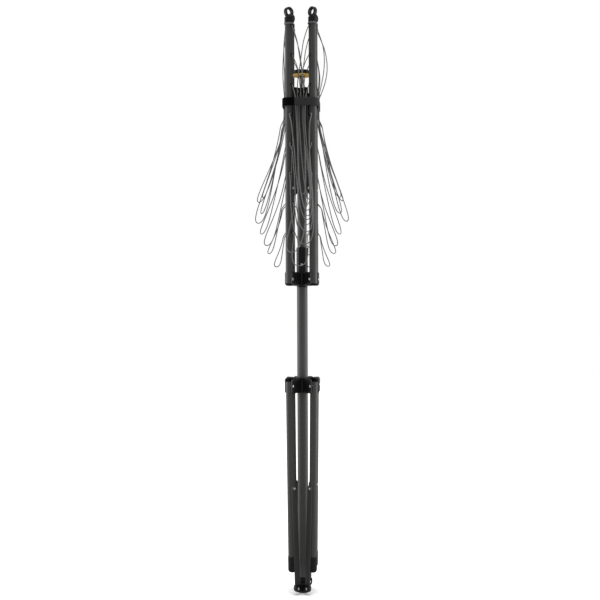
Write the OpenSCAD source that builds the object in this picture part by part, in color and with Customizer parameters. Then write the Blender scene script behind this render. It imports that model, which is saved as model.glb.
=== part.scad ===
// Portable rotary clothesline, folded: mast, four arms up, four legs down.
// Millimetres. Z is up, the base pad stands on Z = 0, and the mast's axis is the Z axis.
// The arms and legs stand on the diagonals, number 1 at the front right and on anticlockwise.

/* [Mast] */
// Outer diameter of the fixed lower mast tube
mast_od = 30; // [29:0.5:32]
// Wall of the fixed lower mast tube
mast_wall = 1; // [1:0.1:1.4]
// Outer diameter of the turning upper mast tube
spin_od = 26.4; // [25:0.1:26.4]
// Wall of the turning upper mast tube
spin_wall = 1.2; // [1:0.1:1.6]
// Height of the lower mast's mouth above the ground
mast_top = 862; // [850:1:862]

/* [Arms] */
// Diameter of the arm and leg tubes
tube_od = 22; // [20:0.5:22]
// Wall of the arm and leg tubes
tube_wall = 1.2; // [1:0.1:1.8]
// Height of the arms' pivots on their hub
arm_pivot_z = 884; // [884:1:888]
// Distance of the arms' pivots from the mast's axis
arm_pivot_r = 47; // [47:0.5:48]
// Length of an arm from its pivot to the strut's rivet
arm_rivet_at = 254; // [252:0.5:255]
// Length of an arm's strut between its two rivets
arm_strut_len = 270; // [269:0.5:272]
// Height of the top line holes
top_hole_z = 1592.5; // [1585:0.5:1594]
// Distance between line holes along an arm
hole_pitch = 82.3; // [80:0.1:84]

/* [Legs] */
// Height of the legs' pivots on their hub
leg_pivot_z = 584.5; // [583:0.5:586]
// Distance of the legs' pivots from the mast's axis
leg_pivot_r = 48; // [47.5:0.5:48]
// Length of a leg from its pivot to the strut's rivet
leg_rivet_at = 286; // [284:0.5:287]
// Length of a leg's strut between its two rivets
leg_strut_len = 281; // [280:0.5:283]
// Length of a leg from its pivot to the end of its foot
leg_len = 522.5; // [520:0.5:525]
// How far a folded leg leans in towards the mast, in degrees
leg_lean = 0.8; // [0.5:0.1:1]

/* [Knob] */
// Diameter of the knob's orange plate
knob_d = 52; // [46:1:56]
// Length that the knob's stem shows between the crown and the knob
stem_gap = 40; // [34:1:42]

/* [Hidden] */

$fn = 64;

// Colours
anthracite = [0.30, 0.30, 0.30];
moulded = [0.07, 0.07, 0.07];
steel = [0.80, 0.80, 0.80];
orange = [0.95, 0.66, 0.18];
line_gray = [0.45, 0.46, 0.45];
strap_gray = [0.19, 0.19, 0.20];

// Fits and gaps
face_gap = 0.3;      // between faces that move past each other
run_gap = 0.05;      // radial, a pin that turns in its hole
slide_gap = 0.1;     // radial, a part that turns or slides in a bore
tube_r = tube_od / 2;

// Lower mast and base
mast_foot_z = 44;
mast_bore_r = mast_od / 2 - mast_wall;
spin_r = spin_od / 2;
spin_foot_z = 640;
bush_len = 20;
bush_rim = 3;
bush_rim_r = mast_od / 2 + 0.6;
pad_r = 17.5;
pad_h = 7.5;
pad_round = 1.5;
base_core_top = 27;
base_spigot_top = 80;
base_ear_r = 9.8;
base_pivot_r = 33;

// Rivets
rivet_r = 2.5;
rivet_head_r = 3.8;
rivet_head_h = 1.6;
spacer_r = 4.5;

// Struts: flat pressed strips beside the tubes
strut_deep = 18.5;
strut_thick = 2.4;
arm_strut_in = 15.2;   // from the arm's axis to the strut's inner face
leg_strut_in = 12.2;
ear_thick = 3.4;

// Rivets on the legs, worked out from their lengths
leg_rivet_r = leg_pivot_r - leg_rivet_at * sin(leg_lean);
leg_rivet_z = leg_pivot_z - leg_rivet_at * cos(leg_lean);
leg_strut_lean = asin((leg_rivet_r - base_pivot_r) / leg_strut_len);
base_pivot_z = leg_rivet_z - leg_strut_len * cos(leg_strut_lean);

// Crown, worked out from the arms and their struts
crown_pivot_r = 32;
arm_strut_lean = asin((arm_pivot_r - crown_pivot_r) / arm_strut_len);
crown_pivot_z = arm_pivot_z + arm_rivet_at + arm_strut_len * cos(arm_strut_lean);
crown_top = crown_pivot_z + 12;
crown_foot = crown_pivot_z - 13;
crown_core_r = 17;
crown_ceiling = crown_pivot_z + 0.4;

// Knob
stem_r = 3.6;
stem_collar_r = 8;
knob_travel = 15;
knob_foot = crown_top + stem_gap;
knob_ring_h = 3;
knob_ring_round = 1.4;
knob_cap_h = 12.5;
knob_cap_round = 4;
knob_cap_r = knob_d / 2 - 1;
knob_boss_r = 10;
stem_in_cap = 6;

// Hubs
arm_hub_foot = arm_pivot_z - 18;
arm_hub_top = arm_pivot_z + 20;
sleeve_top = arm_pivot_z + 90;
sleeve_r = 16;
arm_hub_bore = spin_r + 0.65;
arm_hub_slot = tube_r + 0.6;
leg_hub_foot = leg_pivot_z - 19.5;
leg_hub_top = leg_pivot_z + 22.5;
leg_hub_bore = mast_od / 2 + 1.6;
leg_hub_slot = tube_r + 1.6;
hub_wall = 3.4;
hub_ear = 3.1;
hub_reach = 4.8;        // ears past their pivots
hub_post_r = 6.5;
tube_tail = 12;         // tube past its pivot
arm_hub_hole = rivet_r + 0.9;
leg_hub_hole = rivet_r + 2.9;

// Arm ends and line holes
arm_tube_top = 1613;
eye_foot = 1601;
eye_sleeve_top = 1617;
eye_sleeve_r = tube_r + 1.1;
eye_z = 1632;
eye_r = 14.3;
eye_bore_r = 9;
eye_thick = 11;
eye_round = 1.5;
holes = 8;
grommet_r = 3;
grommet_bore = 1.75;
grommet_flange_r = 4.3;
grommet_flange = 1;

// Foot caps
foot_r = tube_r + 0.8;
foot_len = 45;
foot_wall = 8;

// Strap round the folded arms
strap_z = 1367.5;
strap_w = 22.5;
strap_half = 50.4;      // from the mast's axis to the strap's inner face
strap_thick = 1.6;
strap_corner = 17;

// Clothesline: on each of the four sides one loop hangs between neighbouring arms in each row of holes
line_r = 1.3;
line_sides = 6;
line_steps = 19;
open_angle = 70;
loop_power = 2.4;
exit_gap = 0.3;         // from a bushing's face to the line's end
bend_gap = 1.8;         // from a bushing's face to the line's first bend
strut_gap_mid = (tube_r + grommet_flange + arm_strut_in) / 2;
mouth_fall = 0.1;       // share of a loop's fall in which it leaves its holes
cross_fall = 0.35;      // share of a loop's fall in which its legs lean over to each other
upper_foot_z = 1391;    // a loop's stretch above the strap bulges by itself, down to here
bulge_top_z = 1345;     // below the strap a loop bulges out from here down to its foot
bulge_power = 1.35;
loop_wide = 10;
// Row by row from the top: a loop's depth as a share of the line in it, how far it hangs in from its
// holes along the side, and how far it clears them
loop_share = [0.48, 0.46, 0.46, 0.45, 0.45, 0.45, 0.42, 0.42];
loop_inset = [8, 12, 8, 4, 8, 2, 8, 6];
loop_lift = [4, 0, 6, 12, 3, 2, 11, 7];
// Side by side from the right, and row by row from the top: how far a loop bulges out from the rack below
// the strap and above it, how far its two legs lie apart in depth, and how far its foot swings sideways
loop_out = [
    [60, 72, 58, 72, 60, 50, 36, 24],
    [28, 32, 40, 30, 36, 30, 24, 14],
    [64, 80, 66, 72, 68, 54, 38, 24],
    [34, 30, 40, 28, 38, 24, 28, 14]
];
loop_upper_out = [
    [22, 8, 4, 0, 0, 0, 0, 0],
    [6, 4, 0, 0, 0, 0, 0, 0],
    [4, 2, 0, 0, 0, 0, 0, 0],
    [4, 4, 0, 0, 0, 0, 0, 0]
];
loop_twist = [
    [12, -8, 12, -12, 10, -12, 10, 8],
    [6, -10, 6, -4, 4, -6, 4, 4],
    [-8, 12, -10, 14, -12, 12, -10, 8],
    [-6, 10, -6, 4, -4, 6, 4, -2]
];
loop_swing = [
    [0, -10, 8, -24, 16, 20, -8, -16],
    [-4, -8, -12, -8, -4, -20, -20, -24],
    [0, 0, -2, -20, 8, 20, 20, -6],
    [8, 24, 20, 20, 18, 12, -24, -4]
];
// How far a loop's legs lean in: 1 brings them together, and more than 1 makes them cross
loop_cross = [
    [0.4, 0.7, 0.2, 0, 0, 0, 0, 0],
    [1.5, 1.4, 0.4, 0.3, 0, 0, 0, 0],
    [0.8, 0.3, 0, 0, 0, 0, 0, 0],
    [1.6, 1.4, 0.3, 0.3, 0.2, 0, 0, 0]
];

function azimuth(i) = 90 * i - 45;
// The strut and its ears are on this side of arm or leg i, so that they pair up at the front and rear.
function strut_side(i) = i % 2 == 0 ? -1 : 1;
function hole_z(row) = top_hole_z - hole_pitch * row;
// Line between two neighbouring arms when the rack is fully open
function span(row) = sqrt(2) * (arm_pivot_r + (hole_z(row) - arm_pivot_z) * sin(open_angle)) - 14;

// Places where a line's end leaves its hole and where it first bends: along the arm's diagonal, and
// square to it. Behind a strut the line runs out in the gap beside the bushing before it drops.
function behind_strut(side, row) = side % 2 == 1 && row >= 3 && row <= 5;
function line_exit(side, row) =
    behind_strut(side, row) ? [arm_pivot_r + 2, strut_gap_mid]
    : [arm_pivot_r, tube_r + grommet_flange + exit_gap];
function line_bend(side, row) =
    behind_strut(side, row) ? [arm_pivot_r + tube_r, strut_gap_mid]
    : [arm_pivot_r, tube_r + grommet_flange + bend_gap];
// The same place in the side's own frame: along the side, and out from the rack
function in_side(place) = [place[0] - place[1], place[0] + place[1]] * sqrt(0.5);

// One point of a loop in its side's own frame: along the side, out from the rack, up. It runs from s = -1 to 1.
function loop_point(side, row, s) =
    let (
        fall = 1 - pow(abs(s), loop_power),
        drop = loop_share[row] * span(row),
        z = hole_z(row) - drop * fall,
        bulge_from = min(hole_z(row), bulge_top_z),
        bulge = pow(max(0, (bulge_from - z) / (bulge_from - hole_z(row) + drop)), bulge_power),
        above = z > upper_foot_z ? sin(180 * (hole_z(row) - z) / (hole_z(row) - upper_foot_z)) : 0,
        near = min(1, fall / mouth_fall),
        bend = in_side(line_bend(side, row)),
        half = (bend[0] - loop_inset[row] * near * (1 - bulge) + loop_wide * bulge)
            * (1 - loop_cross[side][row] * min(1, fall / cross_fall)),
        apart = loop_twist[side][row] * sin(180 * s)
    )
    [
        s * (3 - s * s) / 2 * half + loop_swing[side][row] * bulge,
        bend[1] + loop_lift[row] * near + (loop_upper_out[side][row] + apart) * above
            + (loop_out[side][row] + apart) * bulge,
        z
    ];
function loop_path(side, row) =
    let (end = in_side(line_exit(side, row)))
    concat(
        [[-end[0], end[1], hole_z(row)]],
        [for (k = [0:line_steps]) loop_point(side, row, 2 * k / line_steps - 1)],
        [[end[0], end[1], hole_z(row)]]
    );

// Sweep of a round tube along a path: rings square to the path, joined by quads, with flat ends.
function unit(v) = v / norm(v);
function heading(path, k) =
    let (
        before = k == 0 ? [0, 0, 0] : unit(path[k] - path[k - 1]),
        after = k == len(path) - 1 ? [0, 0, 0] : unit(path[k + 1] - path[k])
    )
    unit(before + after);
function ring(path, k, r, sides) =
    let (
        ahead = heading(path, k),
        across = unit(cross(ahead, [1, 0.1, 0.05])),
        up = cross(ahead, across)
    )
    [for (j = [0:sides - 1])
        path[k] + r * (across * cos(360 * j / sides) + up * sin(360 * j / sides))];

module tube_along(path, r, sides) {
    last = len(path) - 1;
    polyhedron(
        points = [for (k = [0:last]) each ring(path, k, r, sides)],
        faces = concat(
            [[for (j = [0:sides - 1]) sides - 1 - j]],
            [for (k = [0:last - 1], j = [0:sides - 1])
                let (a = k * sides, b = (j + 1) % sides)
                [a + j, a + b, a + sides + b, a + sides + j]],
            [[for (j = [0:sides - 1]) last * sides + j]]
        )
    );
}

// Puts its children on the diagonal of arm or leg i: X out from the mast, Y along the tangent.
module on_diagonal(i) {
    rotate([0, 0, azimuth(i)]) children();
}

// Round bar along Y between two places
module cross_bar(r, from, to) {
    translate([0, from, 0]) rotate([-90, 0, 0]) cylinder(r = r, h = to - from);
}

// Plate in the X-Z plane between two places along Y, cut from a flat outline
module cross_plate(from, to) {
    translate([0, to, 0]) rotate([90, 0, 0]) linear_extrude(to - from) children();
}

module tube(r, wall, from, to) {
    translate([0, 0, from]) difference() {
        cylinder(r = r, h = to - from);
        translate([0, 0, -1]) cylinder(r = r - wall, h = to - from + 2);
    }
}

module rounded_rectangle(w, h, r) {
    union() {
        translate([r, 0]) square([w - 2 * r, h]);
        translate([0, r]) square([w, h - 2 * r]);
        for (x = [r, w - r], y = [r, h - r]) translate([x, y]) circle(r = r, $fn = 32);
    }
}

// Domed rivet head standing out along +Y from the origin
module rivet_head() {
    dome_r = (rivet_head_r * rivet_head_r + rivet_head_h * rivet_head_h) / (2 * rivet_head_h);
    rotate([-90, 0, 0]) intersection() {
        translate([0, 0, rivet_head_h - dome_r]) sphere(r = dome_r);
        cylinder(r = rivet_head_r, h = rivet_head_h);
    }
}

module rivet(from, to) {
    cross_bar(rivet_r, from, to);
    translate([0, to, 0]) rivet_head();
    translate([0, from, 0]) mirror([0, 1, 0]) rivet_head();
}

// Flat strip with round ends, from a rivet at the origin up along Z to a rivet at the length
module strut_strip(length, side, inner) {
    from = side > 0 ? inner : -inner - strut_thick;
    difference() {
        cross_plate(from, from + strut_thick) union() {
            translate([-strut_deep / 2, 0]) square([strut_deep, length]);
            circle(d = strut_deep);
            translate([0, length]) circle(d = strut_deep);
        }
        for (z = [0, length])
            translate([0, 0, z]) cross_bar(rivet_r + run_gap, from - 1, from + strut_thick + 1);
    }
}

// Ear outline of a sliding hub: its outer corner is round at the bottom and eased at the top.
module hub_ear_outline(root, reach, height, low_round, top_round) {
    union() {
        translate([root, low_round]) square([reach - root, height - low_round - top_round]);
        translate([root, 0]) square([reach - low_round - root, height]);
        translate([reach - low_round, low_round]) circle(r = low_round);
        translate([reach - top_round, height - top_round]) circle(r = top_round);
        translate([root, height / 2]) square([reach - top_round - root, height / 2]);
    }
}

// Moulded hub that slides on the mast, with two ears for every tube; rivets sit pivot_up above its foot.
module sliding_hub(pivot_r, pivot_up, height, bore, slot) {
    core_r = bore + hub_wall;
    reach = pivot_r + hub_reach;
    difference() {
        union() {
            cylinder(r = core_r, h = height);
            for (i = [0:3]) {
                rotate([0, 0, 90 * i])
                    translate([slot * sqrt(2), 0, 0]) cylinder(r = hub_post_r, h = height);
                on_diagonal(i)
                    for (y = [slot, -slot - hub_ear])
                        cross_plate(y, y + hub_ear)
                            hub_ear_outline(slot, reach, height, 8, 3);
            }
        }
        translate([0, 0, -1]) cylinder(r = bore, h = height + 2);
        for (i = [0:3]) on_diagonal(i) {
            translate([core_r, -slot, -1]) cube([pivot_r, 2 * slot, height + 2]);
            translate([pivot_r, 0, pivot_up])
                cross_bar(rivet_r + run_gap, -slot - hub_ear - 1, slot + hub_ear + 1);
        }
    }
}

// Ears on both sides of one strut's end
module strut_ears(pivot_r, inner, outline_top, ear_r) {
    outer = inner + strut_thick;
    for (span_y = [[inner - face_gap - ear_thick, inner - face_gap],
                   [outer + face_gap, outer + face_gap + ear_thick]])
        cross_plate(span_y[0], span_y[1]) union() {
            translate([pivot_r, 0]) circle(r = ear_r);
            translate([span_y[0], -ear_r]) square([pivot_r - span_y[0], ear_r + outline_top]);
            translate([span_y[0], 0]) square([pivot_r + ear_r - span_y[0], outline_top]);
        }
}

// End hub of the mast: a round core, a spine to the front and rear, and ears for the four struts.
module end_hub(pivot_r, pivot_z, inner, core_r, foot, top, outline_top, ear_r) {
    outer_face = inner + strut_thick + face_gap + ear_thick;
    spine = outer_face * sqrt(2);
    spine_half = (pivot_r - strut_deep / 2 - inner - strut_thick) * sqrt(0.5) - face_gap;
    difference() {
        union() {
            translate([0, 0, foot]) cylinder(r = core_r, h = top - foot);
            translate([-spine_half, -spine + 3, pivot_z - ear_r])
                cube([2 * spine_half, 2 * spine - 6, ear_r + outline_top]);
            for (i = [0:3]) on_diagonal(i)
                scale([1, strut_side(i), 1]) translate([0, 0, pivot_z])
                    strut_ears(pivot_r, inner, outline_top, ear_r);
        }
        for (i = [0:3]) on_diagonal(i) translate([pivot_r, 0, pivot_z])
            scale([1, strut_side(i), 1])
                cross_bar(rivet_r + run_gap, inner - face_gap - ear_thick - 1, outer_face + 1);
    }
}

// Rivet through a strut's two ears
module ear_rivet(i, pivot_r, pivot_z, inner) {
    on_diagonal(i) translate([pivot_r, 0, pivot_z]) mirror([0, strut_side(i) < 0 ? 1 : 0, 0])
        rivet(inner - face_gap - ear_thick, inner + strut_thick + face_gap + ear_thick);
}

// Rivet through a tube and the strut beside it, with a spacer between them
module strut_rivet(side, inner) {
    mirror([0, side < 0 ? 1 : 0, 0]) {
        rivet(-tube_r, inner + strut_thick);
        cross_bar(spacer_r, tube_r, inner - slide_gap);
    }
}

module outer_mast() {
    color(anthracite) tube(mast_od / 2, mast_wall, mast_foot_z, mast_top);
}

module mast_bush() {
    color(moulded) {
        tube(mast_bore_r, mast_bore_r - spin_r - run_gap, mast_top - bush_len, mast_top);
        tube(bush_rim_r, bush_rim_r - spin_r - run_gap, mast_top, mast_top + bush_rim);
    }
}

module base_hub() {
    color(moulded) {
        end_hub(base_pivot_r, base_pivot_z, leg_strut_in, pad_r, pad_h, base_core_top,
            base_ear_r, base_ear_r);
        translate([0, 0, base_core_top])
            cylinder(r = mast_bore_r, h = base_spigot_top - base_core_top);
    }
}

module base_pad() {
    color([0.05, 0.05, 0.05]) rotate_extrude() union() {
        square([pad_r - pad_round, pad_h]);
        translate([0, pad_round]) square([pad_r, pad_h - pad_round]);
        translate([pad_r - pad_round, pad_round]) circle(r = pad_round, $fn = 32);
    }
}

module base_rivets() {
    color(steel) for (i = [0:3]) ear_rivet(i, base_pivot_r, base_pivot_z, leg_strut_in);
}

module inner_mast() {
    color(anthracite) tube(spin_r, spin_wall, spin_foot_z, crown_ceiling);
}

module inner_mast_plug() {
    color(moulded) {
        translate([0, 0, spin_foot_z - 8]) cylinder(r = mast_bore_r - slide_gap, h = 8);
        translate([0, 0, spin_foot_z]) cylinder(r = spin_r - spin_wall, h = 20);
    }
}

module crown() {
    color(moulded) difference() {
        end_hub(crown_pivot_r, crown_pivot_z, arm_strut_in, crown_core_r, crown_foot, crown_top,
            crown_top - crown_pivot_z, 10);
        translate([0, 0, crown_foot - 1]) cylinder(r = spin_r, h = crown_ceiling - crown_foot + 1);
        translate([0, 0, crown_foot]) cylinder(r = stem_r + slide_gap, h = 40);
    }
}

module crown_rivets() {
    color(steel) for (i = [0:3]) ear_rivet(i, crown_pivot_r, crown_pivot_z, arm_strut_in);
}

module knob_stem() {
    collar_top = crown_ceiling - knob_travel - 1;
    stem_top = knob_foot + knob_ring_h + stem_in_cap;
    color(moulded) {
        translate([0, 0, collar_top]) cylinder(r = stem_r, h = stem_top - collar_top);
        translate([0, 0, collar_top - 5]) cylinder(r = stem_collar_r, h = 5);
    }
}

module knob_cap() {
    rim_r = knob_cap_r - knob_cap_round;
    color(moulded) translate([0, 0, knob_foot + knob_ring_h]) difference() {
        union() {
            rotate_extrude() union() {
                square([rim_r, knob_cap_h]);
                square([knob_cap_r, knob_cap_h - knob_cap_round]);
                translate([rim_r, knob_cap_h - knob_cap_round]) circle(r = knob_cap_round, $fn = 32);
            }
            translate([0, 0, -knob_ring_h]) cylinder(r = knob_boss_r, h = knob_ring_h);
        }
        translate([0, 0, -knob_ring_h - 1]) cylinder(r = stem_r, h = knob_ring_h + 1 + stem_in_cap);
    }
}

module knob_ring() {
    rim = 9;
    color(orange) translate([0, 0, knob_foot]) difference() {
        rotate_extrude() union() {
            square([knob_d / 2 - rim / 2, knob_ring_h]);
            translate([knob_d / 2 - rim, 0]) rounded_rectangle(rim, knob_ring_h, knob_ring_round);
        }
        translate([0, 0, -1]) cylinder(r = knob_boss_r, h = knob_ring_h + 2);
    }
}

module arm_hub() {
    screw_z = arm_hub_top + 22;
    color(moulded) translate([0, 0, arm_hub_foot]) {
        sliding_hub(arm_pivot_r, arm_pivot_z - arm_hub_foot, arm_hub_top - arm_hub_foot,
            arm_hub_bore, arm_hub_slot);
        difference() {
            tube(sleeve_r, sleeve_r - arm_hub_bore, arm_hub_top - arm_hub_foot,
                sleeve_top - arm_hub_foot);
            translate([0, 0, screw_z - arm_hub_foot]) cross_bar(1.5, -sleeve_r - 1, -arm_hub_bore + 1);
        }
    }
}

module arm_hub_rivets() {
    half = arm_hub_slot + hub_ear;
    color(steel) for (i = [0:3]) on_diagonal(i)
        translate([arm_pivot_r, 0, arm_pivot_z]) rivet(-half, half);
}

module arm_hub_screw() {
    color(steel) translate([0, -sleeve_r, arm_hub_top + 22]) {
        cross_bar(1.5, 0, sleeve_r - arm_hub_bore);
        cross_bar(2.8, -1.4, 0);
    }
}

module arm(i) {
    color(anthracite) on_diagonal(i) translate([arm_pivot_r, 0, 0]) difference() {
        tube(tube_r, tube_wall, arm_pivot_z - tube_tail, arm_tube_top);
        translate([0, 0, arm_pivot_z]) cross_bar(arm_hub_hole, -tube_r - 1, tube_r + 1);
        translate([0, 0, arm_pivot_z + arm_rivet_at])
            cross_bar(rivet_r, -tube_r - 1, tube_r + 1);
        for (row = [0:holes - 1]) translate([0, 0, hole_z(row)])
            cross_bar(grommet_r, -tube_r - 1, tube_r + 1);
    }
}

module arm_eye(i) {
    color(moulded) on_diagonal(i) translate([arm_pivot_r, 0, 0]) {
        difference() {
            union() {
                translate([0, 0, eye_foot]) cylinder(r = eye_sleeve_r, h = eye_sleeve_top - eye_foot);
                translate([-8, -eye_thick / 2, eye_sleeve_top]) cube([16, eye_thick, 4]);
            }
            translate([0, 0, eye_foot - 1]) cylinder(r = tube_r, h = arm_tube_top - eye_foot + 1);
            translate([0, 0, eye_z]) cross_bar(eye_r - 1, -tube_od, tube_od);
        }
        translate([0, eye_thick / 2, eye_z]) rotate([90, 0, 0]) rotate_extrude()
            translate([eye_bore_r, 0]) rounded_rectangle(eye_r - eye_bore_r, eye_thick, eye_round);
    }
}

module arm_grommets(i) {
    color(moulded) on_diagonal(i) for (row = [0:holes - 1])
        translate([arm_pivot_r, 0, hole_z(row)]) difference() {
            union() {
                cross_bar(grommet_r, -tube_r, tube_r);
                for (y = [-tube_r - grommet_flange, tube_r])
                    cross_bar(grommet_flange_r, y, y + grommet_flange);
            }
            cross_bar(grommet_bore, -tube_r - 2, tube_r + 2);
        }
}

module arm_rivet(i) {
    color(steel) on_diagonal(i) translate([arm_pivot_r, 0, arm_pivot_z + arm_rivet_at])
        strut_rivet(strut_side(i), arm_strut_in);
}

module arm_strut(i) {
    color(anthracite) on_diagonal(i) translate([crown_pivot_r, 0, crown_pivot_z])
        rotate([0, 180 - arm_strut_lean, 0]) strut_strip(arm_strut_len, strut_side(i), arm_strut_in);
}

module leg_hub() {
    height = leg_hub_top - leg_hub_foot;
    color(moulded) translate([0, 0, leg_hub_top]) mirror([0, 0, 1])
        sliding_hub(leg_pivot_r, leg_hub_top - leg_pivot_z, height, leg_hub_bore, leg_hub_slot);
}

module leg_hub_rivets() {
    half = leg_hub_slot + hub_ear;
    color(steel) for (i = [0:3]) on_diagonal(i)
        translate([leg_pivot_r, 0, leg_pivot_z]) rivet(-half, half);
}

// Puts its children on leg i's own axis, with the pivot at the origin and the leg along -Z
module on_leg(i) {
    on_diagonal(i) translate([leg_pivot_r, 0, leg_pivot_z]) rotate([0, leg_lean, 0]) children();
}

module leg(i) {
    color(anthracite) on_leg(i) difference() {
        tube(tube_r, tube_wall, foot_wall - leg_len, tube_tail);
        cross_bar(leg_hub_hole, -tube_r - 1, tube_r + 1);
        translate([0, 0, -leg_rivet_at]) cross_bar(rivet_r, -tube_r - 1, tube_r + 1);
    }
}

module leg_foot(i) {
    foot_round = 9;
    color(moulded) on_leg(i) translate([0, 0, -leg_len]) difference() {
        rotate_extrude() intersection() {
            union() {
                square([foot_r - foot_round, foot_len]);
                translate([0, foot_round]) square([foot_r, foot_len - foot_round]);
                translate([foot_r - foot_round, foot_round]) circle(r = foot_round);
            }
            square([foot_r, foot_len]);
        }
        translate([0, 0, foot_wall]) cylinder(r = tube_r, h = foot_len);
    }
}

module leg_rivet(i) {
    color(steel) on_leg(i) translate([0, 0, -leg_rivet_at]) strut_rivet(strut_side(i), leg_strut_in);
}

module leg_strut(i) {
    color(anthracite) on_diagonal(i) translate([base_pivot_r, 0, base_pivot_z])
        rotate([0, leg_strut_lean, 0]) strut_strip(leg_strut_len, strut_side(i), leg_strut_in);
}

module strap() {
    outer = strap_half + strap_thick;
    color(strap_gray) translate([0, 0, strap_z]) difference() {
        translate([-outer, -outer, 0]) linear_extrude(strap_w)
            rounded_rectangle(2 * outer, 2 * outer, strap_corner + strap_thick);
        translate([-strap_half, -strap_half, -1]) linear_extrude(strap_w + 2)
            rounded_rectangle(2 * strap_half, 2 * strap_half, strap_corner);
    }
}

// The loops of one side: side 0 is between arms 1 and 2, on the right, and on anticlockwise.
module line(side) {
    color(line_gray) rotate([0, 0, 90 * side]) for (row = [0:holes - 1])
        tube_along([for (p = loop_path(side, row)) [p[1], p[0], p[2]]], line_r, line_sides);
}

outer_mast();
mast_bush();
base_hub();
base_pad();
base_rivets();
inner_mast();
inner_mast_plug();
crown();
crown_rivets();
knob_stem();
knob_cap();
knob_ring();
arm_hub();
arm_hub_rivets();
arm_hub_screw();
for (i = [0:3]) {
    arm(i);
    arm_eye(i);
    arm_grommets(i);
    arm_rivet(i);
    arm_strut(i);
    leg(i);
    leg_foot(i);
    leg_rivet(i);
    leg_strut(i);
    line(i);
}
leg_hub();
leg_hub_rivets();
strap();
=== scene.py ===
import math

import bmesh
import bpy
from mathutils import Matrix, Vector


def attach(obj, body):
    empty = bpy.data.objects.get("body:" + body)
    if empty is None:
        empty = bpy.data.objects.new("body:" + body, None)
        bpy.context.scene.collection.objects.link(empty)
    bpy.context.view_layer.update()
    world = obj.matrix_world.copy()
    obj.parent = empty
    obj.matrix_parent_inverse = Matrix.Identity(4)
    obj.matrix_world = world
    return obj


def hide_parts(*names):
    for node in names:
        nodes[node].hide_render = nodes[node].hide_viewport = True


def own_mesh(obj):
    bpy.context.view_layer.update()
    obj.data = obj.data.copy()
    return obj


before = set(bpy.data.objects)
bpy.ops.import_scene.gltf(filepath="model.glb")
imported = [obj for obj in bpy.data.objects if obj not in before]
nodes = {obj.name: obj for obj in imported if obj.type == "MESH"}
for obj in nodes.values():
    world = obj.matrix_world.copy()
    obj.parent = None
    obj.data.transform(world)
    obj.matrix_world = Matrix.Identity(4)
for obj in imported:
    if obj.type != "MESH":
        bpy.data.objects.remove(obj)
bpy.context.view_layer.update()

scene = bpy.context.scene

# Camera.
# It stands at half the clothesline's height, a little to the right of its front, and looks
# level at the mast.
camera_turn = math.radians(3.5)
camera_distance = 2.73
camera_height = 0.8256
camera_data = bpy.data.cameras.new("camera")
camera_data.lens = 57.8
camera_data.sensor_width = 36.0
camera_data.shift_x = -0.0038
camera = bpy.data.objects.new("camera", camera_data)
camera.location = (
    camera_distance * math.sin(camera_turn),
    -camera_distance * math.cos(camera_turn),
    camera_height,
)
camera.rotation_euler = (math.radians(90), math.radians(0.2), camera_turn)
scene.collection.objects.link(camera)
scene.camera = camera


# Clothesline spans.
# One plastic-coated cord runs round through the holes of the four arms in eight rows. Folded,
# each stretch between two arms hangs as a slack loop, held in by the strap near the top.
line_radius = 0.0013
line_rows = 8
line_loop_steps = 90
line_ring_gap = 0.004
line_relaxing = 14
top_hole_z = 1.5925
hole_pitch = 0.0823
arm_pivot_r = 0.047
arm_pivot_z = 0.884
arm_tube_r = 0.011
flange = 0.001
exit_gap = 0.0003
bend_gap = 0.0018
strut_gap_mid = 0.0136
open_angle = math.radians(70)
loop_power = 2.4
mouth_fall = 0.1
cross_fall = 0.35
upper_foot_z = 1.391
bulge_top_z = 1.345
bulge_power = 1.35
loop_wide = 0.010
# Row by row from the top: each loop's depth as a share of its line, and in millimetres how far
# it hangs in from its holes and how far it clears them.
loop_share = [0.48, 0.46, 0.46, 0.45, 0.45, 0.45, 0.42, 0.42]
loop_inset = [8, 12, 8, 4, 8, 2, 8, 6]
loop_lift = [4, 0, 6, 12, 3, 2, 11, 7]
# Side by side and row by row, in millimetres: how far a loop bulges out below and above the
# strap, how far its legs lie apart in depth, and how far its foot swings sideways.
loop_out = [
    [60, 72, 58, 72, 60, 50, 36, 24],
    [28, 32, 40, 30, 36, 30, 24, 14],
    [64, 80, 66, 72, 68, 54, 38, 24],
    [34, 30, 40, 28, 38, 24, 28, 14],
]
loop_upper_out = [
    [22, 8, 4, 0, 0, 0, 0, 0],
    [6, 4, 0, 0, 0, 0, 0, 0],
    [4, 2, 0, 0, 0, 0, 0, 0],
    [4, 4, 0, 0, 0, 0, 0, 0],
]
loop_twist = [
    [12, -8, 12, -12, 10, -12, 10, 8],
    [6, -10, 6, -4, 4, -6, 4, 4],
    [-8, 12, -10, 14, -12, 12, -10, 8],
    [-6, 10, -6, 4, -4, 6, 4, -2],
]
loop_swing = [
    [0, -10, 8, -24, 16, 20, -8, -16],
    [-4, -8, -12, -8, -4, -20, -20, -24],
    [0, 0, -2, -20, 8, 20, 20, -6],
    [8, 24, 20, 20, 18, 12, -24, -4],
]
# How far a loop's legs lean in: 1 brings them together, and more than 1 makes them cross.
loop_cross = [
    [0.4, 0.7, 0.2, 0, 0, 0, 0, 0],
    [1.5, 1.4, 0.4, 0.3, 0, 0, 0, 0],
    [0.8, 0.3, 0, 0, 0, 0, 0, 0],
    [1.6, 1.4, 0.3, 0.3, 0.2, 0, 0, 0],
]


def hole_z(row):
    return top_hole_z - hole_pitch * row


def line_between_arms(row):
    """Line between two neighbouring arms when the rack is open."""
    return math.sqrt(2) * (arm_pivot_r + (hole_z(row) - arm_pivot_z) * math.sin(open_angle)) - 0.014


def behind_strut(side, row):
    return side % 2 == 1 and 3 <= row <= 5


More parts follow.
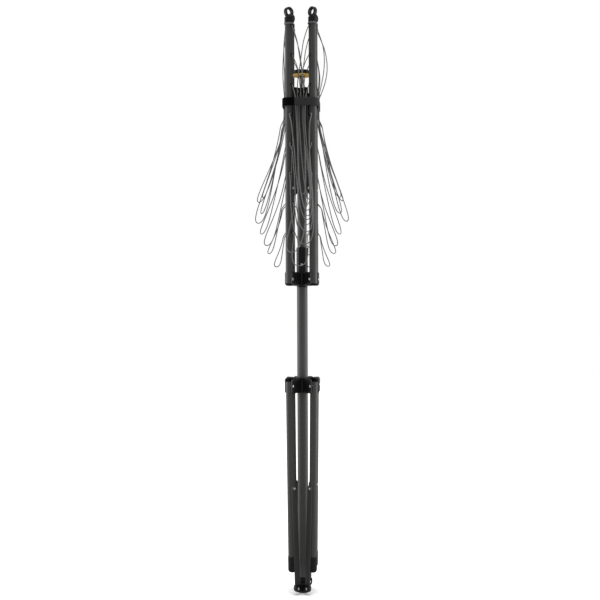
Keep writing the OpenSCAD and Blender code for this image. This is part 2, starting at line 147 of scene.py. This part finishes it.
def in_side(along_arm, beside_arm):
    """From an arm's own diagonal to its side: along the side, and out from the rack."""
    return (along_arm - beside_arm) * math.sqrt(0.5), (along_arm + beside_arm) * math.sqrt(0.5)


def loop_point(side, row, s):
    fall = 1 - abs(s) ** loop_power
    drop = loop_share[row] * line_between_arms(row)
    z = hole_z(row) - drop * fall
    bulge_from = min(hole_z(row), bulge_top_z)
    bulge = max(0, (bulge_from - z) / (bulge_from - hole_z(row) + drop)) ** bulge_power
    above = 0
    if z > upper_foot_z:
        above = math.sin(math.pi * (hole_z(row) - z) / (hole_z(row) - upper_foot_z))
    near = min(1, fall / mouth_fall)
    if behind_strut(side, row):
        bend_along, bend_out = in_side(arm_pivot_r + arm_tube_r, strut_gap_mid)
    else:
        bend_along, bend_out = in_side(arm_pivot_r, arm_tube_r + flange + bend_gap)
    half = bend_along - loop_inset[row] / 1000 * near * (1 - bulge) + loop_wide * bulge
    half *= 1 - loop_cross[side][row] * min(1, fall / cross_fall)
    apart = loop_twist[side][row] / 1000 * math.sin(math.pi * s)
    along = s * (3 - s * s) / 2 * half + loop_swing[side][row] / 1000 * bulge
    out = bend_out + loop_lift[row] / 1000 * near
    out += (loop_upper_out[side][row] / 1000 + apart) * above
    out += (loop_out[side][row] / 1000 + apart) * bulge
    return along, out, z


def loop_route(side, row):
    """The route of one loop, from the bushing of one arm to that of the next."""
    if behind_strut(side, row):
        end_along, end_out = in_side(arm_pivot_r + 0.002, strut_gap_mid)
    else:
        end_along, end_out = in_side(arm_pivot_r, arm_tube_r + flange + exit_gap)
    z = hole_z(row)
    places = [(-end_along, end_out, z)]
    places += [loop_point(side, row, 2 * k / line_loop_steps - 1) for k in range(line_loop_steps + 1)]
    places += [(end_along, end_out, z)]
    turn = Matrix.Rotation(math.radians(90) * side, 3, "Z")
    return [turn @ Vector((out, along, z)) for along, out, z in places]


def relaxed(route):
    """The same route with even steps and its kinks eased, as springy cord lies."""
    runs = [0.0]
    for p, q in zip(route, route[1:]):
        runs.append(runs[-1] + (q - p).length)
    steps = round(runs[-1] / line_ring_gap)
    points = []
    leg = 0
    for k in range(steps + 1):
        at = runs[-1] * k / steps
        while leg < len(route) - 2 and runs[leg + 1] < at:
            leg += 1
        points.append(route[leg].lerp(route[leg + 1], (at - runs[leg]) / (runs[leg + 1] - runs[leg])))
    for pull in (0.5, -0.52) * line_relaxing:
        middles = [(p + q) / 2 for p, q in zip(points, points[2:])]
        points[1:-1] = [p.lerp(m, pull) for p, m in zip(points[1:-1], middles)]
    return points


def cord_mesh(name, route, radius, sides=2):
    """A smooth round tube through the points of a route."""
    curve = bpy.data.curves.new(name, "CURVE")
    curve.dimensions = "3D"
    curve.bevel_depth = radius
    curve.bevel_resolution = sides
    curve.use_fill_caps = True
    spline = curve.splines.new("POLY")
    spline.points.add(len(route) - 1)
    for point, place in zip(spline.points, route):
        point.co = (*place, 1)
    holder = bpy.data.objects.new(name, curve)
    scene.collection.objects.link(holder)
    bpy.context.view_layer.update()
    mesh = bpy.data.meshes.new_from_object(holder.evaluated_get(bpy.context.evaluated_depsgraph_get()))
    bpy.data.objects.remove(holder)
    bpy.data.curves.remove(curve)
    mesh.name = name
    for face in mesh.polygons:
        face.use_smooth = True
    mesh.materials.clear()
    return mesh


def new_finish(name, colour, roughness, metallic=0.0):
    """A Principled material; returns it with its tree, its shader and its Object coordinates."""
    material = bpy.data.materials.new(name)
    material.use_nodes = True
    tree = material.node_tree
    shader = tree.nodes["Principled BSDF"]
    shader.inputs["Base Color"].default_value = (*colour, 1)
    shader.inputs["Roughness"].default_value = roughness
    shader.inputs["Metallic"].default_value = metallic
    material.diffuse_color = (*colour, 1)
    place = tree.nodes.new("ShaderNodeTexCoord").outputs["Object"]
    return material, tree, shader, place


def new_group(name, inputs, outputs):
    """An empty shader group with number inputs, a Place vector and the named outputs."""
    group = bpy.data.node_groups.new(name, "ShaderNodeTree")
    group.interface.new_socket("Place", in_out="INPUT", socket_type="NodeSocketVector")
    for label, value in inputs.items():
        socket = group.interface.new_socket(label, in_out="INPUT", socket_type="NodeSocketFloat")
        socket.default_value = value
    for label in outputs:
        group.interface.new_socket(label, in_out="OUTPUT", socket_type="NodeSocketFloat")
    return group, group.nodes.new("NodeGroupInput"), group.nodes.new("NodeGroupOutput")


def place_group(tree, group, place, **values):
    node = tree.nodes.new("ShaderNodeGroup")
    node.node_tree = group
    tree.links.new(place, node.inputs["Place"])
    for label, value in values.items():
        node.inputs[label].default_value = value
    return node


def node_math(tree, operation, first, second=None, clamp=False):
    node = tree.nodes.new("ShaderNodeMath")
    node.operation = operation
    node.use_clamp = clamp
    for socket, value in zip(node.inputs, (first, second)):
        if value is None:
            continue
        if isinstance(value, (int, float)):
            socket.default_value = value
        else:
            tree.links.new(value, socket)
    return node.outputs[0]


# Fine grain of a sprayed, moulded or woven surface: the height of small bumps, and a slow
# patchiness that stays between nought and one.
grain, grain_in, grain_out = new_group("fine_grain", {"Scale": 900.0, "Patch": 12.0}, ["Height", "Patches"])
grain_noise = grain.nodes.new("ShaderNodeTexNoise")
grain_noise.inputs["Detail"].default_value = 3.0
grain.links.new(grain_in.outputs["Place"], grain_noise.inputs["Vector"])
grain.links.new(grain_in.outputs["Scale"], grain_noise.inputs["Scale"])
grain.links.new(grain_noise.outputs["Fac"], grain_out.inputs["Height"])
patch_noise = grain.nodes.new("ShaderNodeTexNoise")
patch_noise.inputs["Detail"].default_value = 4.0
grain.links.new(grain_in.outputs["Place"], patch_noise.inputs["Vector"])
grain.links.new(grain_in.outputs["Patch"], patch_noise.inputs["Scale"])
grain.links.new(patch_noise.outputs["Fac"], grain_out.inputs["Patches"])

# Rub marks: thin scratches along the tubes, where the folding pieces slide on each other.
rubs, rubs_in, rubs_out = new_group("rub_marks", {"Amount": 0.62}, ["Mask"])
rub_map = rubs.nodes.new("ShaderNodeMapping")
rub_map.inputs["Scale"].default_value = (420, 420, 26)
rubs.links.new(rubs_in.outputs["Place"], rub_map.inputs["Vector"])
rub_noise = rubs.nodes.new("ShaderNodeTexNoise")
rub_noise.inputs["Scale"].default_value = 1.0
rub_noise.inputs["Detail"].default_value = 5.0
rub_noise.inputs["Roughness"].default_value = 0.7
rubs.links.new(rub_map.outputs["Vector"], rub_noise.inputs["Vector"])
rub_edge = rubs.nodes.new("ShaderNodeMapRange")
rub_edge.inputs["From Max"].default_value = 0.78
rubs.links.new(rub_noise.outputs["Fac"], rub_edge.inputs["Value"])
rubs.links.new(rubs_in.outputs["Amount"], rub_edge.inputs["From Min"])
rubs.links.new(rub_edge.outputs["Result"], rubs_out.inputs["Mask"])


def coat(name, colour, worn, roughness, grain_scale, grain_depth,
         patch=9.0, rub=0.66, metallic=0.0, shine=0.5):
    """A surface with fine grain, patchy gloss and a few rubbed scratches."""
    material, tree, shader, place = new_finish(name, colour, roughness, metallic)
    shader.inputs["Specular IOR Level"].default_value = shine
    grains = place_group(tree, grain, place, Scale=grain_scale, Patch=patch)
    marks = place_group(tree, rubs, place, Amount=rub)
    shade = tree.nodes.new("ShaderNodeMix")
    shade.data_type = "RGBA"
    shade.inputs["A"].default_value = (*[c * 0.86 for c in colour], 1)
    shade.inputs["B"].default_value = (*[min(1, c * 1.14) for c in colour], 1)
    tree.links.new(grains.outputs["Patches"], shade.inputs["Factor"])
    wear = tree.nodes.new("ShaderNodeMix")
    wear.data_type = "RGBA"
    wear.inputs["B"].default_value = (*worn, 1)
    tree.links.new(marks.outputs["Mask"], wear.inputs["Factor"])
    tree.links.new(shade.outputs["Result"], wear.inputs["A"])
    tree.links.new(wear.outputs["Result"], shader.inputs["Base Color"])
    gloss = node_math(tree, "MULTIPLY_ADD", grains.outputs["Patches"], 0.22)
    gloss.node.inputs[2].default_value = roughness - 0.11
    tree.links.new(gloss, shader.inputs["Roughness"])
    bump = tree.nodes.new("ShaderNodeBump")
    bump.inputs["Distance"].default_value = grain_depth
    bump.inputs["Strength"].default_value = 1.0
    tree.links.new(grains.outputs["Height"], bump.inputs["Height"])
    tree.links.new(bump.outputs["Normal"], shader.inputs["Normal"])
    return material


def finish_node(name, material):
    for slot in nodes[name].material_slots:
        slot.material = material


def new_piece(name, mesh_maker, body, material, smooth=True):
    """Links a bmesh as a finished piece that rides on a body."""
    data = bpy.data.meshes.new(name)
    mesh_maker.to_mesh(data)
    mesh_maker.free()
    piece = bpy.data.objects.new(name, data)
    scene.collection.objects.link(piece)
    data.materials.append(material)
    for face in data.polygons:
        face.use_smooth = smooth
    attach(piece, body)
    return piece


line_cord = coat("line_cord", (0.165, 0.170, 0.165), (0.24, 0.245, 0.24), 0.55, 1500.0, 0.00015,
                 patch=60.0, rub=0.7)
for side in range(4):
    diagonal = math.radians(90 * side - 45)
    for row in range(line_rows):
        route = relaxed(loop_route(side, row))
        mesh = cord_mesh(f"line_span_{side + 1}_{row + 1}", route, line_radius)
        mesh.materials.append(line_cord)
        span = bpy.data.objects.new(mesh.name, mesh)
        scene.collection.objects.link(span)
        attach(span, f"arm_{side + 1}")
        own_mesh(span)
        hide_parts(f"line_{side + 1}")

# Line wraps.
# The line is wound two turns round each arm under its cap, where it is made fast.
wrap_foot_z = 1.5972
wrap_turns = 2
wrap_turn_steps = 24
wrap_pitch = 1.5 * line_radius
for n in range(1, 5):
    diagonal = math.radians(90 * n - 135)
    middle = Vector((arm_pivot_r * math.cos(diagonal), arm_pivot_r * math.sin(diagonal), wrap_foot_z))
    wound = []
    for k in range(wrap_turn_steps * wrap_turns + 1):
        turned = math.tau * k / wrap_turn_steps + diagonal
        reach = arm_tube_r + line_radius
        wound.append(middle + Vector((reach * math.cos(turned), reach * math.sin(turned),
                                      wrap_pitch * k / wrap_turn_steps)))
    mesh = cord_mesh(f"line_wrap_{n}", wound, line_radius)
    mesh.materials.append(line_cord)
    wrap = bpy.data.objects.new(mesh.name, mesh)
    scene.collection.objects.link(wrap)
    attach(wrap, f"arm_{n}")

# Floor and light.
# A plain pale studio floor under white light, with a large soft lamp on either hand and a
# broad, even light from above.
floor_maker = bmesh.new()
bmesh.ops.create_circle(floor_maker, cap_ends=True, segments=96, radius=7)
floor_data = bpy.data.meshes.new("studio_floor")
floor_maker.to_mesh(floor_data)
floor_maker.free()
floor = bpy.data.objects.new("studio_floor", floor_data)
scene.collection.objects.link(floor)
floor_finish = new_finish("studio_floor", (0.93, 0.93, 0.93), 0.9)[0]
floor_data.materials.append(floor_finish)

# The walls look white, but shed less light than they show, so that dark coats stay dark.
world = bpy.data.worlds.new("studio")
world.use_nodes = True
walls = world.node_tree.nodes["Background"]
walls.inputs["Color"].default_value = (1, 1, 1, 1)
seen = world.node_tree.nodes.new("ShaderNodeLightPath")
wall_light = world.node_tree.nodes.new("ShaderNodeMath")
wall_light.operation = "MULTIPLY_ADD"
wall_light.inputs[1].default_value = 0.58
wall_light.inputs[2].default_value = 0.42
world.node_tree.links.new(seen.outputs["Is Camera Ray"], wall_light.inputs[0])
world.node_tree.links.new(wall_light.outputs[0], walls.inputs["Strength"])
scene.world = world
scene.view_settings.view_transform = "Standard"
floor.visible_diffuse = False
floor.visible_glossy = False

noon = bpy.data.lights.new("lamp_floor", "SUN")
noon.energy = 3.3
noon.angle = math.radians(40)
noon_holder = bpy.data.objects.new("lamp_floor", noon)
scene.collection.objects.link(noon_holder)


def soft_lamp(name, place, target, width, height, power):
    lamp = bpy.data.lights.new(name, "AREA")
    lamp.shape = "RECTANGLE"
    lamp.size = width
    lamp.size_y = height
    lamp.energy = power
    holder = bpy.data.objects.new(name, lamp)
    holder.location = place
    holder.rotation_euler = (Vector(target) - Vector(place)).to_track_quat("-Z", "Y").to_euler()
    scene.collection.objects.link(holder)


soft_lamp("lamp_left", (-2.3, 0.25, 1.0), (0, 0, 0.8), 0.9, 2.2, 34)
soft_lamp("lamp_right", (2.3, 0.25, 1.0), (0, 0, 0.8), 0.9, 2.2, 34)

# Mast tubes.
# Two drawn steel tubes in a fine textured anthracite powder coat: the lower one stands in
# the base, and the upper one turns inside it.
mast_coat = coat("mast_coat", (0.080, 0.079, 0.077), (0.15, 0.15, 0.15), 0.50, 1100.0, 0.00006, rub=0.70)
finish_node("outer_mast", mast_coat)
finish_node("inner_mast", mast_coat)

# Arms and legs.
# Thinner steel tubes in the same coat, flatter in gloss, with paler rubs where folding
# brings them together.
arm_coat = coat("arm_coat", (0.062, 0.061, 0.059), (0.14, 0.14, 0.14), 0.44, 1100.0, 0.00006, rub=0.68)
leg_coat = coat("leg_coat", (0.062, 0.060, 0.058), (0.14, 0.14, 0.14), 0.44, 1100.0, 0.00006, rub=0.66)
for n in range(1, 5):
    finish_node(f"arm_{n}", arm_coat)
    finish_node(f"leg_{n}", leg_coat)

# Struts.
# Flat pressed-steel strips, coated like the tubes, with a rim left proud all round their edge and
# their rivet holes; each is riveted to its tube and to the crown or the base.
strut_rim = 0.0022
strut_web_sunk = 0.0006


def merged_copy(node):
    """A copy of a CAD node's mesh with its doubles merged and its flat faces made whole."""
    maker = bmesh.new()
    maker.from_mesh(nodes[node].data)
    bmesh.ops.remove_doubles(maker, verts=maker.verts, dist=0.00001)
    bmesh.ops.dissolve_limit(maker, angle_limit=math.radians(0.5), verts=maker.verts, edges=maker.edges)
    return maker


def eased(piece, width, segments=2):
    """Rounds a piece's sharp edges as its press or mould does."""
    ease = piece.modifiers.new("eased_edges", "BEVEL")
    ease.width = width
    ease.segments = segments
    ease.limit_method = "ANGLE"
    ease.angle_limit = math.radians(38)
    flats = piece.modifiers.new("flat_faces", "WEIGHTED_NORMAL")
    flats.keep_sharp = True


strut_coat = coat("strut_coat", (0.046, 0.045, 0.044), (0.12, 0.12, 0.12), 0.42, 1000.0, 0.00006, rub=0.66)
for group in ("arm_strut", "leg_strut"):
    for n in range(1, 5):
        diagonal = math.radians(90 * n - 135)
        beside = Vector((-math.sin(diagonal), math.cos(diagonal), 0))
        strip = merged_copy(f"{group}_{n}")
        flats = [face for face in strip.faces if abs(face.normal.dot(beside)) > 0.99]
        bmesh.ops.inset_region(strip, faces=flats, thickness=strut_rim, depth=-strut_web_sunk,
                               use_even_offset=True, use_boundary=True)
        pressed = new_piece(f"{group}_pressing_{n}", strip, f"{group}_{n}", strut_coat)
        eased(pressed, 0.00035)
        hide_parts(f"{group}_{n}")

# Moulded hubs, crown, base and bush.
# Black glass-filled nylon with a lightly eroded skin; edges are eased by the mould.
hub_black = coat("hub_black", (0.0055, 0.0055, 0.0055), (0.03, 0.03, 0.03), 0.42, 700.0, 0.0001,
                 patch=20.0, rub=0.72, shine=0.3)
for name in ("mast_bush", "inner_mast_plug", "knob_stem"):
    finish_node(name, hub_black)
for name, body, ease_width in (("base_hub", "stand", 0.0007), ("crown", "head", 0.0007),
                               ("arm_hub", "arm_hub", 0.0006), ("leg_hub", "leg_hub", 0.0006)):
    moulding = new_piece(f"{name}_moulding", merged_copy(name), body, hub_black)
    eased(moulding, ease_width)
    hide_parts(name)

# Caps on the tube ends, and the bushings of the line holes.
# Softer black plastic, pushed over or into the tubes.
cap_black = coat("cap_black", (0.006, 0.006, 0.006), (0.025, 0.025, 0.025), 0.50, 800.0, 0.0001,
                 patch=30.0, rub=0.72, shine=0.3)
for n in range(1, 5):
    for name in (f"arm_eye_{n}", f"arm_grommets_{n}", f"leg_foot_{n}"):
        finish_node(name, cap_black)

# Rivets and the hub's screw.
# Bright plated steel, set by a press: domed, with faint turning marks.
rivet_steel = coat("rivet_steel", (0.66, 0.66, 0.66), (0.45, 0.45, 0.45), 0.32, 1600.0, 0.00003,
                   patch=200.0, rub=0.66, metallic=1.0)
for name in ("base_rivets", "crown_rivets", "arm_hub_rivets", "leg_hub_rivets", "arm_hub_screw"):
    finish_node(name, rivet_steel)
for n in range(1, 5):
    finish_node(f"arm_rivet_{n}", rivet_steel)
    finish_node(f"leg_rivet_{n}", rivet_steel)

# Knob.
# A black cap with a rounded edge over a thin orange plate, on a stem through the crown.
knob_orange = coat("knob_orange", (1.0, 0.56, 0.045), (1.0, 0.66, 0.14), 0.40, 900.0, 0.00006,
                   patch=30.0, rub=0.75)
finish_node("knob_ring", knob_orange)
finish_node("knob_cap", cap_black)

# Base pad.
# A soft black rubber foot under the mast, a little dusty.
pad_rubber = coat("pad_rubber", (0.014, 0.014, 0.014), (0.06, 0.058, 0.055), 0.72, 600.0, 0.00015,
                  patch=40.0, rub=0.66)
finish_node("base_pad", pad_rubber)

# Strap.
# A hook-and-loop webbing band round the four folded arms; its black end laps over the grey
# band at the front left.
strap_low = 1.3675
strap_wide = 0.0225
strap_half = 0.0503
strap_corner = 0.018
strap_slope = 0.002
lap_end_x = -0.0176


def band_path(half, corner, first_quarter=0, corner_steps=10):
    """Points round a square with round corners, anticlockwise from the middle of one face."""
    points = []
    for quarter in range(first_quarter, 4):
        turn = Matrix.Rotation(math.radians(90) * quarter, 3, "Z")
        flat = half - corner
        points += [turn @ Vector((flat * share, -half, 0)) for share in (0.0, 0.34, 0.67)]
        for k in range(corner_steps + 1):
            a = math.radians(-90 + 90 * k / corner_steps)
            points.append(turn @ Vector((flat + corner * math.cos(a), corner * math.sin(a) - flat, 0)))
        points += [turn @ Vector((half, -flat * share, 0)) for share in (0.67, 0.34)]
    return points


def band(name, points, closed, thick, material):
    """A flat woven band that stands on edge along the points and hangs a little lower behind."""
    along = {}
    run = 0.0
    maker = bmesh.new()
    foot = []
    for before, p in zip([points[0]] + points, points):
        run += (p - before).length
        along[round(p.x, 5), round(p.y, 5)] = run
        sag = strap_slope * (0.5 + p.y / (2 * strap_half))
        foot.append(maker.verts.new((p.x, p.y, strap_low - sag)))
    edges = [maker.edges.new(pair) for pair in zip(foot, foot[1:])]
    if closed:
        edges.append(maker.edges.new((foot[-1], foot[0])))
    rows = 6
    for _ in range(rows):
        made = bmesh.ops.extrude_edge_only(maker, edges=edges)["geom"]
        risen = {part for part in made if isinstance(part, bmesh.types.BMVert)}
        bmesh.ops.translate(maker, verts=list(risen), vec=(0, 0, strap_wide / rows))
        edges = [part for part in made
                 if isinstance(part, bmesh.types.BMEdge) and risen.issuperset(part.verts)]
    maker.normal_update()
    inward = [face for face in maker.faces
              if face.normal.xy.dot(face.calc_center_median().xy) < 0]
    bmesh.ops.reverse_faces(maker, faces=inward)
    weave = maker.loops.layers.uv.new("UVMap")
    for face in maker.faces:
        for corner in face.loops:
            place = corner.vert.co
            corner[weave].uv = (along[round(place.x, 5), round(place.y, 5)], place.z - strap_low)
    piece = new_piece(name, maker, "arm_1", material)
    wall = piece.modifiers.new("thickness", "SOLIDIFY")
    wall.thickness = thick
    wall.offset = 1.0
    soft = piece.modifiers.new("soft_edges", "BEVEL")
    soft.width = 0.0003
    soft.segments = 2
    return piece


def webbing(name, colour, worn, shine):
    """Plain-woven webbing: crossed rows of yarn along the band's own map over the fine grain."""
    material = coat(name, colour, worn, 0.85, 1400.0, 0.0003, patch=80.0, rub=0.72, shine=shine)
    tree = material.node_tree
    map_place = tree.nodes.new("ShaderNodeUVMap")
    map_place.uv_map = "UVMap"
    rows = []
    for direction in ("X", "Y"):
        yarn = tree.nodes.new("ShaderNodeTexWave")
        yarn.bands_direction = direction
        yarn.inputs["Scale"].default_value = 250.0
        tree.links.new(map_place.outputs["UV"], yarn.inputs["Vector"])
        rows.append(yarn.outputs["Fac"])
    crossed = node_math(tree, "MULTIPLY", *rows)
    bump = next(node for node in tree.nodes if node.bl_idname == "ShaderNodeBump")
    grain_height = bump.inputs["Height"].links[0].from_socket
    tree.links.new(node_math(tree, "ADD", crossed, grain_height), bump.inputs["Height"])
    return material


strap_gray = webbing("strap_gray", (0.032, 0.032, 0.034), (0.06, 0.06, 0.06), 0.5)
strap_black = webbing("strap_black", (0.002, 0.002, 0.002), (0.006, 0.006, 0.006), 0.04)
strap_band = band("strap_band", band_path(strap_half, strap_corner), True, 0.0012, strap_gray)
lap_out = 0.0014
lap = [p for p in band_path(strap_half + lap_out, strap_corner + lap_out, first_quarter=3) if p.x < lap_end_x]
lap.append(Vector((lap_end_x, -strap_half - lap_out, 0)))
strap_lap = band("strap_lap", lap, False, 0.0009, strap_black)
for piece in (strap_band, strap_lap):
    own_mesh(piece)
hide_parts("strap")
